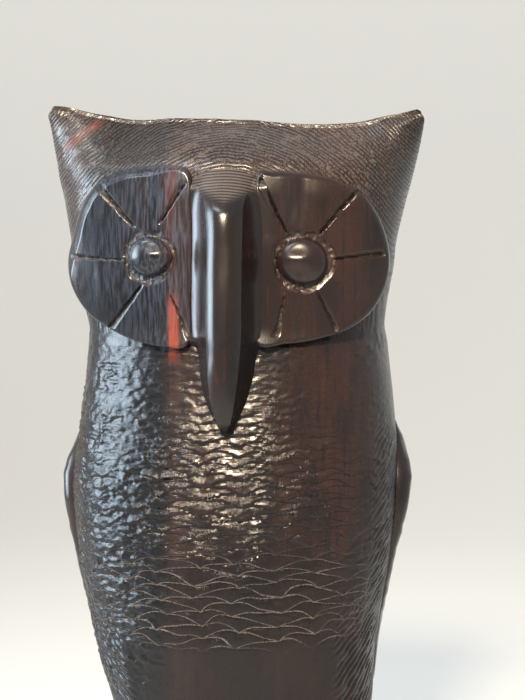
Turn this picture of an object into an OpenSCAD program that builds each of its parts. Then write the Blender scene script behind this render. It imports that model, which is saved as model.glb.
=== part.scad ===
// Carved hardwood owl, standing on a round base.
// Origin: centre of the base's underside. +Z is up and the bird faces -Y.
// "left" and "right" are the bird's own, so left is +X.
// The figure is one billet of wood. Each node is one carved element, and
// every element meets its neighbours face to face, with no gap and no overlap.

/* [Base] */
// Diameter of the round base
base_d = 86; // [78:1:110]
// Height of the base
base_h = 16; // [10:1:30]
// Bevel round the base's top edge
base_bevel = 2.5; // [1:0.5:3]

/* [Body] */
// Height of the body, from the top of the base to the neck
body_h = 177.5; // [140:0.5:220]
// Width of the body where it meets the base
foot_w = 60; // [50:1:64]
// Width of the body at the hips, its slimmest place
hip_w = 63; // [54:1:72]
// Width of the body at the lower belly
belly_w = 78; // [70:1:88]
// Width of the body at the chest
chest_w = 92.6; // [82:0.2:104]
// Width of the neck
neck_w = 85.8; // [78:0.2:94]
// How far the chest stands in front of the centre line
chest_front = 42; // [36:0.5:48]
// How far the back stands behind the centre line
chest_back = 33; // [28:0.5:40]
// How far the foot of the body stands in front of the centre line
foot_front = 27; // [24:0.5:30]

/* [Head] */
// Height of the head, from the neck to the middle of the crown
head_h = 63.5; // [56:0.5:76]
// Width across the tips of the ear tufts
head_w = 108; // [98:1:120]
// Width of the head at the height of the eyes
face_w = 93.6; // [86:0.2:98]
// How far the face stands in front of the centre line
face_front = 37; // [33:0.5:40]
// How far the back of the head stands behind the centre line
head_back = 36; // [32:0.5:40]
// How far the tips of the ear tufts rise above the crown
tuft_rise = 3; // [2:0.2:10]
// Width of one ear tuft along the crown
tuft_w = 16; // [12:0.5:22]
// Height of one ear tuft down the side of the head
tuft_h = 18; // [14:0.5:24]
// Dip of the crown between its middle and each ear tuft
crown_dip = 1.9; // [0:0.1:3]

/* [Face] */
// Distance between the centres of the two eyes
eye_gap = 40.6; // [38:0.2:44]
// Height of the eyes above the neck
eye_up = 24.5; // [22:0.5:28]
// Diameter of an eye
eye_d = 11.6; // [9:0.2:14]
// How far an eye stands out of its disc
eye_rise = 4.4; // [2.5:0.1:6]
// Height of a facial disc
disc_h = 47; // [42:0.5:50]
// Width of a facial disc from the eye's centre to its outer edge
disc_out = 23.2; // [21:0.2:25]
// Width of a facial disc from the eye's centre to its edge under the beak
disc_in = 13.5; // [12:0.2:15]
// How far a facial disc stands off the head
disc_rise = 3.6; // [2.4:0.1:5]

/* [Beak] */
// Width of the beak between the facial discs
beak_w = 17.6; // [15:0.2:20]
// How far the beak stands in front of the centre line
beak_front = 51.8; // [48:0.2:56]
// Height of the top of the beak above the neck
beak_up = 44; // [40:0.5:46]
// How far the tip of the beak hangs below the neck
beak_down = 21.5; // [16:0.5:28]

/* [Wings] */
// Thickness of a wing at its shoulder
wing_t = 3.4; // [2.4:0.1:5]
// Thickness of a wing at its tip
wing_tip_t = 1.4; // [1.2:0.1:3]
// How far the top of a wing lies below the neck
wing_down = 20; // [16:1:26]
// Height of the wing tips above the base
wing_up = 42; // [36:1:52]
// Gap between the two wings down the back
wing_gap = 7; // [4:0.5:12]

/* [Tail] */
// Width of the tail
tail_w = 36; // [30:0.5:42]
// Height of the tail above the base
tail_h = 78; // [64:1:90]
// How far the tail stands behind the centre line
tail_back = 36.5; // [34:0.5:38]

/* [Feet] */
// Diameter of a toe at its knuckle
toe_d = 9; // [7:0.2:10]
// Distance between the middles of two toes
toe_gap = 7.4; // [6:0.2:8]
// Distance between the middles of the two feet
feet_gap = 28; // [24:0.5:32]
// Length of a toe in front of the body
toe_l = 9; // [7:0.2:10]

/* [Hidden] */

// Finish of the carved, textured wood, of the polished wood and of the base
textured = [0.17, 0.14, 0.13];
polished = [0.24, 0.15, 0.12];
turned = [0.14, 0.11, 0.10];

neck_z = base_h + body_h;
crown_z = neck_z + head_h;
eye_z = neck_z + eye_up;
eye_x = eye_gap / 2;

// Every cross-section is a superellipse of this exponent
section_power = 2.3;
// The outer half of a facial disc is one too
disc_power = 2.05;
beak_power = 2.2;
tail_power = 3.4;

// Points round a cross-section, and cross-sections up the body, head, beak and tail
around = 56;
body_steps = 28;
head_steps = 16;
beak_steps = 14;
beak_around = 32;
tail_steps = 9;
tail_around = 32;

// A tool solid that only cuts reaches this far past what it cuts
past = 10;
// Half the thickness of the narrow ridge that closes the crown
crown_ridge = 1;
// The crown's ridge lies this far in front of the centre line
crown_front = 12;

// Body: [share of body_h, [half width, front, back]]
body_knots = [
    [0, [foot_w / 2, foot_front, foot_front - 1]],
    [0.22, [hip_w / 2, foot_front + 2, chest_back - 6]],
    [0.46, [belly_w / 2, chest_front - 6, chest_back - 3]],
    [0.756, [chest_w / 2, chest_front, chest_back]],
    [1, [neck_w / 2, chest_front - 4.5, chest_back]]
];

// Head: [share of head_h, [half width, front, back]]
head_knots = [
    [0, [neck_w / 2, chest_front - 4.5, chest_back]],
    [0.09, [neck_w / 2 - 0.4, face_front - 0.5, head_back - 2.5]],
    [0.34, [face_w / 2 - 0.8, face_front, head_back]],
    [0.46, [face_w / 2, face_front, head_back]],
    [0.62, [(face_w + head_w) / 4 - 1.6, face_front - 1, head_back - 1]],
    [0.77, [head_w / 2 - 2.8, face_front - 4.5, head_back - 8]],
    [0.86, [head_w / 2 - 1.6, face_front - 10.5, head_back - 18]],
    [0.94, [head_w / 2 - 0.6, face_front - 18, 2]],
    [1, [head_w / 2, crown_front + crown_ridge, crown_ridge - crown_front]]
];

// Beak: [height above the neck, [half width, front]]
beak_knots = [
    [-beak_down, [0.8, beak_front - 6.2]],
    [-beak_down + 4.5, [beak_w / 2 - 5.1, beak_front - 3.3]],
    [-beak_down + 13.5, [beak_w / 2 - 2.2, beak_front - 0.8]],
    [1, [beak_w / 2 - 0.5, beak_front]],
    [12, [beak_w / 2, beak_front - 1.3]],
    [beak_up - 14, [beak_w / 2 - 0.2, beak_front - 5.3]],
    [beak_up - 4, [beak_w / 2 - 1.8, face_front + 4]],
    [beak_up, [beak_w / 2 - 4.8, face_front + 0.5]]
];
// Depth at which the beak's cross-sections are widest
beak_root = face_front - 1;

// Wing: [share of body_h, thickness over the body]
wing_top_share = 1 - wing_down / body_h;
wing_tip_share = wing_up / body_h;
wing_knots = [
    [wing_tip_share, wing_tip_t],
    [wing_top_share - 0.34, wing_tip_t],
    [wing_top_share - 0.11, wing_t],
    [wing_top_share - 0.05, wing_t - 0.4],
    [wing_top_share, 0.8]
];

// Tail: [share of tail_h, [half width, back]]
tail_knots = [
    [0, [tail_w / 2 - 3, tail_back - 1.5]],
    [0.45, [tail_w / 2, tail_back]],
    [0.8, [tail_w / 2 - 2, tail_back - 3]],
    [1, [tail_w / 2 - 7, chest_back - 4]]
];

// Slope of the smooth curve through knots k at knot i
function slope_at(k, i) =
    let (a = max(i - 1, 0), b = min(i + 1, len(k) - 1))
    (k[b][1] - k[a][1]) / (k[b][0] - k[a][0]);

// Value at t of the smooth curve through knots k, where a value may be a vector
function curve_at(k, t, i = 0) =
    i < len(k) - 2 && t > k[i + 1][0] ? curve_at(k, t, i + 1) :
    let (
        span = k[i + 1][0] - k[i][0],
        u = min(max((t - k[i][0]) / span, 0), 1)
    )
    (2 * u ^ 3 - 3 * u ^ 2 + 1) * k[i][1]
    + (u ^ 3 - 2 * u ^ 2 + u) * span * slope_at(k, i)
    + (3 * u ^ 2 - 2 * u ^ 3) * k[i + 1][1]
    + (u ^ 3 - u ^ 2) * span * slope_at(k, i + 1);

// A power that keeps the sign of its base
function signed_pow(x, p) = sign(x) * pow(abs(x), p);

// One level superellipse of size [half width, front, back], n points, from +X
function section(size, z, power, n) = [
    for (i = [0 : n - 1])
        let (q = 360 * i / n)
        [
            size[0] * signed_pow(cos(q), 2 / power),
            (size[2] - size[1]) / 2 + (size[2] + size[1]) / 2 * signed_pow(sin(q), 2 / power),
            z
        ]
];

// How far a section of size [half width, front, back] stands forward at the distance x
function front_at(size, x) =
    (size[1] - size[2]) / 2
    + (size[1] + size[2]) / 2 * pow(1 - pow(x / size[0], section_power), 1 / section_power);

// Rise of the crown at s, the share of its half width: up to the tufts, with a dip between
function crown_lift(s) = tuft_rise * pow(s, 5) - crown_dip * pow(sin(180 * s), 2);

// Cross-sections of the body, thicker all round by the values of the curve extra
function body_sections(extra = [[0, 0], [1, 0]]) = [
    for (j = [0 : body_steps])
        let (
            t = j / body_steps,
            g = curve_at(extra, t)
        )
        section(curve_at(body_knots, t) + [g, g, g], base_h + t * body_h, section_power, around)
];

// Cross-sections of the head, thicker all round by g; the upper ones bend up to the tufts
function head_sections(g = 0) = [
    for (j = [0 : head_steps])
        let (
            t = j / head_steps,
            size = curve_at(head_knots, t) + [g, g, g]
        )
        [
            for (p = section(size, neck_z + t * head_h, section_power, around))
                p + [0, 0, pow(t, 6) * crown_lift(min(abs(p[0]) / size[0], 1))]
        ]
];

// A closed solid through level or nearly level rings of points that start at +X, each
// with the same count, a multiple of 4. Its ends are closed by strips across the ring,
// and its triangles are split the same way on both sides of x = 0.
module loft(rings) {
    n = len(rings[0]);
    half = n / 2;
    top = (len(rings) - 1) * n;
    walls = [
        for (j = [0 : len(rings) - 2], i = [0 : n - 1])
            let (
                a = j * n + i,
                b = j * n + (i + 1) % n
            )
            each (
                i < half / 2 || i >= n - half / 2
                ? [[a, a + n, b + n], [a, b + n, b]]
                : [[a, a + n, b], [b, a + n, b + n]]
            )
    ];
    strips = [
        for (i = [0 : half / 2 - 1])
            let (k = half - i)
            each [
                if (i > 0) [i, n - i, n - i - 1],
                [i, n - i - 1, i + 1],
                if (i > 0) [k, n - k + 1, n - k],
                [k, k - 1, n - k + 1]
            ]
    ];
    polyhedron(
        points = [for (r = rings) each r],
        faces = concat(
            walls,
            [for (f = strips) [f[0] + top, f[1] + top, f[2] + top]],
            [for (f = strips) [f[2], f[1], f[0]]]
        ),
        convexity = 6
    );
}

// Keeps a carved surface, cut from its neighbours, as one mesh
module carved() {
    resize([0, 0, 0]) children();
}

module mirrored() {
    mirror([1, 0, 0]) children();
}

module torso_form() {
    loft(body_sections());
}

module head_form(g = 0) {
    loft(head_sections(g));
}

// Everything outside the plane that parts the left ear tuft from the head
module tuft_side() {
    reach = head_w + head_h;
    translate([head_w / 2 - tuft_w, 0, crown_z])
        rotate([0, atan(tuft_h / tuft_w), 0])
            translate([-reach / 2, -reach / 2, 0])
                cube(reach);
}

// Outline of the left facial disc about its eye: a superellipse outside, square inside
module disc_outline() {
    polygon(concat(
        [
            for (q = [-90 : 6 : 90])
                [disc_out * signed_pow(cos(q), 2 / disc_power), disc_h / 2 * signed_pow(sin(q), 2 / disc_power)]
        ],
        [[-disc_in, disc_h / 2], [-disc_in, -disc_h / 2]]
    ));
}

// The disc's outline, run from behind the face to well in front of it
module disc_prism() {
    translate([eye_x, 0, eye_z])
        rotate([90, 0, 0])
            linear_extrude(beak_front)
                disc_outline();
}

module disc_form() {
    intersection() {
        head_form(disc_rise);
        disc_prism();
    }
}

// The disc's face in front of the centre line at the eye's centre, and the bottom of the
// eye's socket, which stays clear of the head behind the eye's inner edge
eye_size = curve_at(head_knots, eye_up / head_h);
eye_face = front_at(eye_size + [disc_rise, disc_rise, disc_rise], eye_x);
socket_floor = front_at(eye_size, eye_x - eye_d / 2) + 0.3;
eye_peg = eye_face - socket_floor;

// A domed bead on a short peg, along -Y
module eye_form(extra = 0) {
    dome_r = (pow(eye_d / 2, 2) + pow(eye_rise, 2)) / (2 * eye_rise);
    translate([eye_x, -socket_floor, eye_z])
        rotate([90, 0, 0]) {
            cylinder(d = eye_d, h = eye_peg + extra, $fn = 48);
            if (extra == 0)
                intersection() {
                    translate([0, 0, eye_peg + eye_rise - dome_r])
                        sphere(r = dome_r, $fn = 64);
                    translate([0, 0, eye_peg])
                        cylinder(r = dome_r, h = dome_r, $fn = 64);
                }
        }
}

module beak_form() {
    low = beak_knots[0][0];
    high = beak_knots[len(beak_knots) - 1][0];
    loft([
        for (j = [0 : beak_steps])
            let (
                h = low + (high - low) * j / beak_steps,
                size = curve_at(beak_knots, h)
            )
            section([size[0], size[1], size[1] - 2 * beak_root], neck_z + h, beak_power, beak_around)
    ]);
}

// Outline of a wing seen from the side, as [distance behind the centre line, height]
module wing_outline() {
    top = neck_z - wing_down;
    tip = base_h + wing_up;
    drop = top - tip;
    behind = chest_back + past;
    polygon([
        [behind, top + 2],
        [12, top],
        [3, top - 4],
        [-4, top - 0.08 * drop],
        [-9, top - 0.14 * drop],
        [-11, top - 0.22 * drop],
        [-10.5, top - 0.32 * drop],
        [-6, top - 0.5 * drop],
        [2, top - 0.68 * drop],
        [12, top - 0.84 * drop],
        [22, top - 0.96 * drop],
        [behind, tip]
    ]);
}

module left_wing_form() {
    intersection() {
        loft(body_sections(wing_knots));
        translate([wing_gap / 2, 0, 0])
            rotate([90, 0, 90])
                linear_extrude(chest_w)
                    wing_outline();
    }
}

module tail_form() {
    loft([
        for (j = [0 : tail_steps])
            let (
                t = j / tail_steps,
                size = curve_at(tail_knots, t)
            )
            section([size[0], -past, size[1]], base_h + t * tail_h, tail_power, tail_around)
    ]);
}

// One toe, from its knuckle inside the body to its claw, about the middle of the foot.
// It is set a little into the base, which cuts its sole flat.
module toe(length) {
    r = toe_d / 2;
    sole_z = base_h - 0.15 * toe_d;
    claw_r = r / 4;
    front = foot_front + length;
    hull() {
        translate([0, -foot_front + r, sole_z + toe_d]) sphere(r = r, $fn = 18);
        translate([0, -front + toe_d, sole_z + r]) sphere(r = r, $fn = 18);
    }
    hull() {
        translate([0, -front + toe_d, sole_z + r]) sphere(r = r, $fn = 18);
        translate([0, -front + r / 2, base_h + claw_r / 2]) sphere(r = claw_r, $fn = 12);
    }
}

module left_foot_form() {
    for (k = [-1 : 1])
        translate([feet_gap / 2 + k * toe_gap, 0, 0])
            toe(toe_l - 1.2 * abs(k));
}

module base() {
    r = base_d / 2;
    color(turned)
        rotate_extrude($fn = 96)
            polygon([[0, 0], [r, 0], [r, base_h - base_bevel], [r - base_bevel, base_h], [0, base_h]]);
}

module torso() {
    color(textured) torso_form();
}

module head() {
    color(textured)
        carved()
            difference() {
                head_form();
                tuft_side();
                mirrored() tuft_side();
            }
}

module left_ear_tuft() {
    color(textured)
        carved()
            intersection() {
                head_form();
                tuft_side();
            }
}

module left_facial_disc() {
    color(polished)
        carved()
            difference() {
                disc_form();
                head_form();
                torso_form();
                beak_form();
                eye_form(past);
            }
}

module left_eye() {
    color(polished) eye_form();
}

module beak() {
    color(polished)
        carved()
            difference() {
                beak_form();
                head_form();
                torso_form();
            }
}

module tail() {
    color(textured)
        carved()
            difference() {
                tail_form();
                torso_form();
            }
}

module left_wing() {
    color(polished)
        carved()
            difference() {
                left_wing_form();
                torso_form();
                tail_form();
            }
}

module left_foot() {
    color(polished)
        carved()
            difference() {
                left_foot_form();
                torso_form();
                translate([0, 0, -past]) cylinder(d = base_d, h = base_h + past, $fn = 96);
            }
}

base();
torso();
head();
left_ear_tuft();
mirrored() left_ear_tuft();  // right_ear_tuft
left_facial_disc();
mirrored() left_facial_disc();  // right_facial_disc
left_eye();
mirrored() left_eye();  // right_eye
beak();
left_wing();
mirrored() left_wing();  // right_wing
tail();
left_foot();
mirrored() left_foot();  // right_foot
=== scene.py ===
import bpy
import numpy as np
from bpy.props import FloatProperty, FloatVectorProperty, PointerProperty
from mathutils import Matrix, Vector


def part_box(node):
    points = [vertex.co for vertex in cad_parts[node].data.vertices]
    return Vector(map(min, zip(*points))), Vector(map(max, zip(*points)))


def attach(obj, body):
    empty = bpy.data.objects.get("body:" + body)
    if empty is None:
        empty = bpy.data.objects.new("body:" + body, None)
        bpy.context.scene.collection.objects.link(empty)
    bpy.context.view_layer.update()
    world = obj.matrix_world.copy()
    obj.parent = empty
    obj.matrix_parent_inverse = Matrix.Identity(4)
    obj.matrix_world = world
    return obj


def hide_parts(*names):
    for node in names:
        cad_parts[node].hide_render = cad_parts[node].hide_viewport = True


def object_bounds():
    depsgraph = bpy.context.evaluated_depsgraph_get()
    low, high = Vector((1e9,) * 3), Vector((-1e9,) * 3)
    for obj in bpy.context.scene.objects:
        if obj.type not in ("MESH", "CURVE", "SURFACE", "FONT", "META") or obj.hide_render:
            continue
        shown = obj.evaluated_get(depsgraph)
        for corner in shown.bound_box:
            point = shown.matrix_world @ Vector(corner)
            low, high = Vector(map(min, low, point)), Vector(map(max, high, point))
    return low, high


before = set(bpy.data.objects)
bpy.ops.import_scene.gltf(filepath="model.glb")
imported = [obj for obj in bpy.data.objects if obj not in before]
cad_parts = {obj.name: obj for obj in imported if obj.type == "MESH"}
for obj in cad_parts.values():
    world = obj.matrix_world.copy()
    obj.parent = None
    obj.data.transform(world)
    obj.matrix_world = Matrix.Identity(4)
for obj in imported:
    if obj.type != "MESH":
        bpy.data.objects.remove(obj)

bl_info = {
    "name": "Carved Owl",
    "version": (1, 0, 0),
    "blender": (4, 5, 0),
    "location": "3D View > Sidebar > Owl",
    "description": "Builds the carved surfaces, wood finishes and stage of a hardwood owl",
    "category": "Add Mesh",
}

MM = 0.001
CAD_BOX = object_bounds()
BODY = "root"


def span(node):
    """Lowest and highest corner of a CAD node, in millimetres."""
    return [np.array(corner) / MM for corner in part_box(node)]


BASE_RADIUS, _, BASE_Z = span("base")[1]
NECK_Z = span("torso")[1][2]
EYE_X = (span("left_eye")[0][0] + span("left_eye")[1][0]) / 2
WING_LOW, WING_HIGH = span("left_wing")
TAIL_LOW, TAIL_HIGH = span("tail")
FOOT_LOW, FOOT_HIGH = span("left_foot")
CROWN_Z = NECK_Z + 63.5

# Power of the superellipses that every cross-section of body and head follows
SECTION_POWER = 2.3
# Middle of the lines engraved on the head, as x and z
ENGRAVING_X, ENGRAVING_Z = -0.5, 205.0
# Edges that turn by more than this many degrees stay crisp
CRISP_TURN = 62

# Share of the height, then half width, front and back of the section there
TORSO_PROFILE = np.array([
    [0.0, 30.0, 27.0, 26.0], [0.22, 31.5, 29.0, 27.0], [0.46, 38.7, 36.0, 30.0],
    [0.756, 46.3, 42.0, 33.0], [1.0, 42.9, 37.5, 33.0],
])
HEAD_PROFILE = np.array([
    [0.0, 42.9, 37.5, 33.0],
    [0.09, 42.5, 36.5, 33.5],
    [0.34, 46.0, 37.0, 36.0],
    [0.46, 46.8, 37.0, 36.0],
    [0.62, 48.8, 36.0, 35.0],
    [0.77, 51.0, 32.5, 28.0],
    [0.86, 52.2, 26.5, 18.0],
    [0.94, 53.0, 19.0, 2.0],
    [0.98, 53.2, 15.0, -8.2],
    [1.0, 52.4, 13.4, -10.6],
])
# Place from side to side, then the height of the crown's ridge there
CROWN_LINE = np.array([
    [-54.0, 260.4], [-47.0, 259.5], [-40.0, 258.0], [-28.0, 256.2], [-13.0, 256.6],
    [8.0, 255.6], [24.0, 254.7], [34.0, 255.0], [46.0, 257.2], [54.0, 258.9],
])
# Height, then how far the billet leans towards +X there
LEAN = np.array([
    [16.0, 1.2], [60.0, 1.6], [88.0, 1.5], [105.0, 0.0], [122.0, -0.7], [145.0, -0.2],
    [165.0, 0.3], [192.0, 0.2], [216.0, -1.1], [240.0, -0.5], [258.0, 0.2],
])


# ---------------------------------------------------------------- numbers and surfaces

def curve_at(knots, t):
    """Smooth curve through knots (place, values...) at t: cubic Hermite pieces whose
    slope at a knot is that of the line between its two neighbours."""
    place, value = knots[:, 0], knots[:, 1:]
    count = len(place)
    before = np.maximum(np.arange(count) - 1, 0)
    after = np.minimum(np.arange(count) + 1, count - 1)
    slope = (value[after] - value[before]) / (place[after] - place[before])[:, None]
    t = np.asarray(t, float)
    i = np.clip(np.searchsorted(place, t, side="right") - 1, 0, count - 2)
    length = (place[i + 1] - place[i])[..., None]
    u = np.clip((t - place[i])[..., None] / length, 0, 1)
    out = (
        (2 * u**3 - 3 * u**2 + 1) * value[i]
        + (u**3 - 2 * u**2 + u) * length * slope[i]
        + (3 * u**2 - 2 * u**3) * value[i + 1]
        + (u**3 - u**2) * length * slope[i + 1]
    )
    return out[..., 0] if value.shape[1] == 1 else out


def signed_pow(x, power):
    """Power of the size of x, with the sign of x."""
    return np.sign(x) * np.abs(x) ** power


def ease(x, low, high):
    """Smooth step from 0 at low to 1 at high."""
    u = np.clip((x - low) / (high - low), 0, 1)
    return u * u * (3 - 2 * u)


def noise(x, y, seed):
    """Smooth noise from -1 to 1: seeded values on a unit grid, eased between."""
    table = np.random.default_rng(seed).uniform(-1, 1, (64, 64))
    i, j = np.floor(x).astype(int), np.floor(y).astype(int)
    u, v = ease(x - i, 0, 1), ease(y - j, 0, 1)
    low = table[i % 64, j % 64] * (1 - u) + table[(i + 1) % 64, j % 64] * u
    high = table[i % 64, (j + 1) % 64] * (1 - u) + table[(i + 1) % 64, (j + 1) % 64] * u
    return low * (1 - v) + high * v


def normals(points, wrap):
    """Unit normals of a grid of points, from the cross product of its two slopes."""
    if wrap:
        across = np.roll(points, -1, 1) - np.roll(points, 1, 1)
    else:
        across = np.gradient(points, axis=1)
    n = np.cross(across, np.gradient(points, axis=0))
    return n / np.maximum(np.linalg.norm(n, axis=2, keepdims=True), 1e-9)


def grid_faces(rows, columns, wrap):
    """Quads between neighbouring rows and columns of a grid, as vertex numbers."""
    j, i = np.meshgrid(np.arange(rows - 1), np.arange(columns if wrap else columns - 1), indexing="ij")
    k = (i + 1) % columns
    quads = [j * columns + i, j * columns + k, (j + 1) * columns + k, (j + 1) * columns + i]
    return np.stack(quads, -1).reshape(-1, 4)


def zip_rims(first, second):
    """Triangles between two rows of vertex numbers that run side by side: each edge of
    one row is joined to the vertex of the other that is level with it."""
    along = np.linspace(0, 1, len(first))
    beside = np.linspace(0, 1, len(second))
    near = np.searchsorted(beside[1:], along[1:], side="left")
    far = np.searchsorted(along[1:], beside[1:], side="right").clip(max=len(first) - 1)
    strip = np.vstack([
        np.stack([first[:-1], first[1:], second[near]], 1),
        np.stack([second[1:], second[:-1], first[far]], 1),
    ])
    return strip[(strip[:, 0] != strip[:, 2]) & (strip[:, 1] != strip[:, 2])]


def open_edges(faces):
    """Directed edges that only one face uses, as pairs of vertex numbers."""
    edges = np.concatenate([
        np.stack([f[:, i], f[:, (i + 1) % f.shape[1]]], 1) for f in faces for i in range(f.shape[1])
    ])
    key = np.sort(edges, 1)
    _, first, count = np.unique(key, axis=0, return_index=True, return_counts=True)
    return edges[first[count == 1]]


def close_holes(points, faces):
    """Adds a point at the middle of each open rim and a fan of triangles to it."""
    edges = open_edges(faces)
    if not len(edges):
        return points, faces
    following = dict(zip(edges[:, 0].tolist(), edges[:, 1].tolist()))
    fans = []
    while following:
        start, rim = next(iter(following)), []
        at = start
        while at in following:
            rim.append(at)
            at = following.pop(at)
        rim = np.array(rim)
        fans.append(np.stack([np.roll(rim, -1), rim, np.full(len(rim), len(points))], 1))
        points = np.vstack([points, points[rim].mean(0)])
    return points, faces + fans


def piece(name, points, faces, finish, node, *more_nodes, maps=None, values=None):
    """Makes a closed mesh object from points in millimetres, turned outwards by the sign
    of its volume. It stands for the named CAD nodes, rides the body, and takes the
    material and slot of its finish. maps are UV maps and values are numbers at points."""
    kept = len(points)
    points, faces = close_holes(points, faces)
    corner = points - points.mean(0)
    volume = sum(
        np.einsum("ij,ij->", corner[f[:, 0]], np.cross(corner[f[:, k]], corner[f[:, k + 1]]))
        for f in faces for k in range(1, f.shape[1] - 1)
    )
    if volume < 0:
        faces = [f[:, ::-1] for f in faces]
    loops = np.concatenate([f.ravel() for f in faces])
    sizes = np.concatenate([np.full(len(f), f.shape[1]) for f in faces])
    mesh = bpy.data.meshes.new(name)
    mesh.vertices.add(len(points))
    mesh.vertices.foreach_set("co", (points * MM).astype(np.float32).ravel())
    mesh.loops.add(len(loops))
    mesh.loops.foreach_set("vertex_index", loops.astype(np.int32))
    mesh.polygons.add(len(sizes))
    mesh.polygons.foreach_set("loop_start", np.concatenate([[0], np.cumsum(sizes)[:-1]]).astype(np.int32))
    mesh.update(calc_edges=True)
    mesh.shade_smooth()
    mesh.set_sharp_from_angle(angle=np.radians(CRISP_TURN))
    for label, uv in (maps or {}).items():
        full = np.vstack([uv, np.zeros((len(points) - kept, 2))])
        layer = mesh.uv_layers.new(name=label)
        layer.data.foreach_set("uv", full[loops].astype(np.float32).ravel())
    for label, amount in (values or {}).items():
        full = np.concatenate([amount, np.zeros(len(points) - kept)])
        layer = mesh.attributes.new(label, "FLOAT", "POINT")
        layer.data.foreach_set("value", full.astype(np.float32))
    if mesh.validate():
        raise RuntimeError(f"{name}: the mesh had faults")
    made = bpy.data.objects.new(name, mesh)
    bpy.context.scene.collection.objects.link(made)
    mesh.materials.append(FINISHES[finish]())
    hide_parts(node, *more_nodes)
    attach(made, BODY)
    return made


def section(size, shares, side):
    """Points on half of superellipses, at shares of the half's arc length, which is
    summed over fine steps. size holds half width, front and back of each row. side is 1
    for the back half, run from +X to -X, and -1 for the front half, run from -X to +X.
    Gives x, y and the half's length."""
    q = np.linspace(0, np.pi, 721)
    unit_x = signed_pow(np.cos(q), 2 / SECTION_POWER)
    unit_y = signed_pow(np.sin(q), 2 / SECTION_POWER)
    middle = (size[:, 2] - size[:, 1]) / 2
    half = (size[:, 2] + size[:, 1]) / 2
    x = size[:, :1] * unit_x
    y = half[:, None] * unit_y
    steps = np.hypot(np.diff(x, axis=1), np.diff(y, axis=1))
    run = np.concatenate([np.zeros((len(size), 1)), np.cumsum(steps, 1)], 1)
    at = np.array([np.interp(shares * r[-1], r, q) for r in run])
    x = size[:, :1] * signed_pow(np.cos(at), 2 / SECTION_POWER) * side
    y = middle[:, None] + half[:, None] * signed_pow(np.sin(at), 2 / SECTION_POWER) * side
    return x, y, run[:, -1]


def front_depth(size, x):
    """How far forward a superellipse section stands at the distance x from the middle
    plane: its centre, plus its half depth times the power's root of 1 - share."""
    share = np.clip(np.abs(x) / size[..., 0], 0, 0.999)
    half = (size[..., 1] + size[..., 2]) / 2
    return (size[..., 1] - size[..., 2]) / 2 + half * (1 - share**SECTION_POWER) ** (1 / SECTION_POWER)


def collar_relief(across, z):
    """Fine cuts and a slow unevenness round the neck, where the body meets the head."""
    cuts = noise(across / 2.6, z / 1.1, 79) + 0.7 * noise(across / 1.3, z / 0.7, 83)
    return 0.16 * cuts * ease(np.abs(across) * -1, -70, -50) + 0.25 * noise(across / 11, z / 13, 29)


def turned(profile, columns):
    """Points of a profile of radius and height, run round the upright axis."""
    turn = np.linspace(0, 2 * np.pi, columns, endpoint=False)
    radius, height = profile[:, :1], np.repeat(profile[:, 1:], columns, 1)
    return np.stack([radius * np.cos(turn), radius * np.sin(turn), height], -1).reshape(-1, 3)


def torso_size(z):
    """Half width, front and back of the body at height z, from its profile."""
    return curve_at(TORSO_PROFILE, (z - BASE_Z) / (NECK_Z - BASE_Z))


def head_size(z):
    """Half width, front and back of the head at height z, from its profile."""
    return curve_at(HEAD_PROFILE, (z - NECK_Z) / (CROWN_Z - NECK_Z))


def lean(z):
    """Shift of the carving along x at height z."""
    return curve_at(LEAN, z)


def around(size, front_columns, back_columns):
    """Closed rings: the back half then the front half, with its signed distance along
    the surface from the front's middle. Gives x, y and that distance."""
    back_share = np.linspace(0, 1, back_columns, endpoint=False)
    front_share = np.linspace(0, 1, front_columns, endpoint=False)
    bx, by, length = section(size, back_share, 1)
    fx, fy, _ = section(size, front_share, -1)
    across = np.concatenate([
        (1 - back_share)[None, :] * length[:, None] + length[:, None] / 2,
        (front_share - 0.5)[None, :] * length[:, None],
    ], 1)
    across[:, 0] = length / 2
    return np.concatenate([bx, fx], 1), np.concatenate([by, fy], 1), across


# ---------------------------------------------------------------- carved relief

SCALLOP_BULGE = 0.26


def scallops(across, up):
    """Stabbed arcs in columns one unit wide and one unit apart, each column half a step
    out with the last. Arcs rise and fall by half a step across a column and are bowed
    upwards by a parabola. Gives the lip, 1 just over an arc and falling to 0 under the
    arc above, and the stop cut, a Gaussian just under an arc."""
    column = np.floor(across)
    share = across - column
    level = up - SCALLOP_BULGE * 4 * share * (1 - share) - (column % 2) / 2
    over_rising, over_falling = (level - share / 2) % 1, (level + share / 2) % 1
    below = np.minimum(over_rising, over_falling)
    above = np.minimum(1 - over_rising, 1 - over_falling)
    gap = below + above
    lip = np.sqrt(gap) * above / np.maximum(gap, 1e-6)
    return lip, np.exp(-((above / 0.1) ** 2))


def strokes(phase, along, seed):
    """Engraved lines one unit of phase apart, each broken into dashes a few units long.
    Gives 1 in the bottom of a cut and 0 on the wood between."""
    line = np.floor(phase)
    cut = 1 - np.abs((phase - line) * 2 - 1)
    return ease(cut, 0.25, 0.95) * ease(noise(line * 7.3 + 0.5, along, seed), -0.6, 0.1)


# ---------------------------------------------------------------- shader expressions

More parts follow.
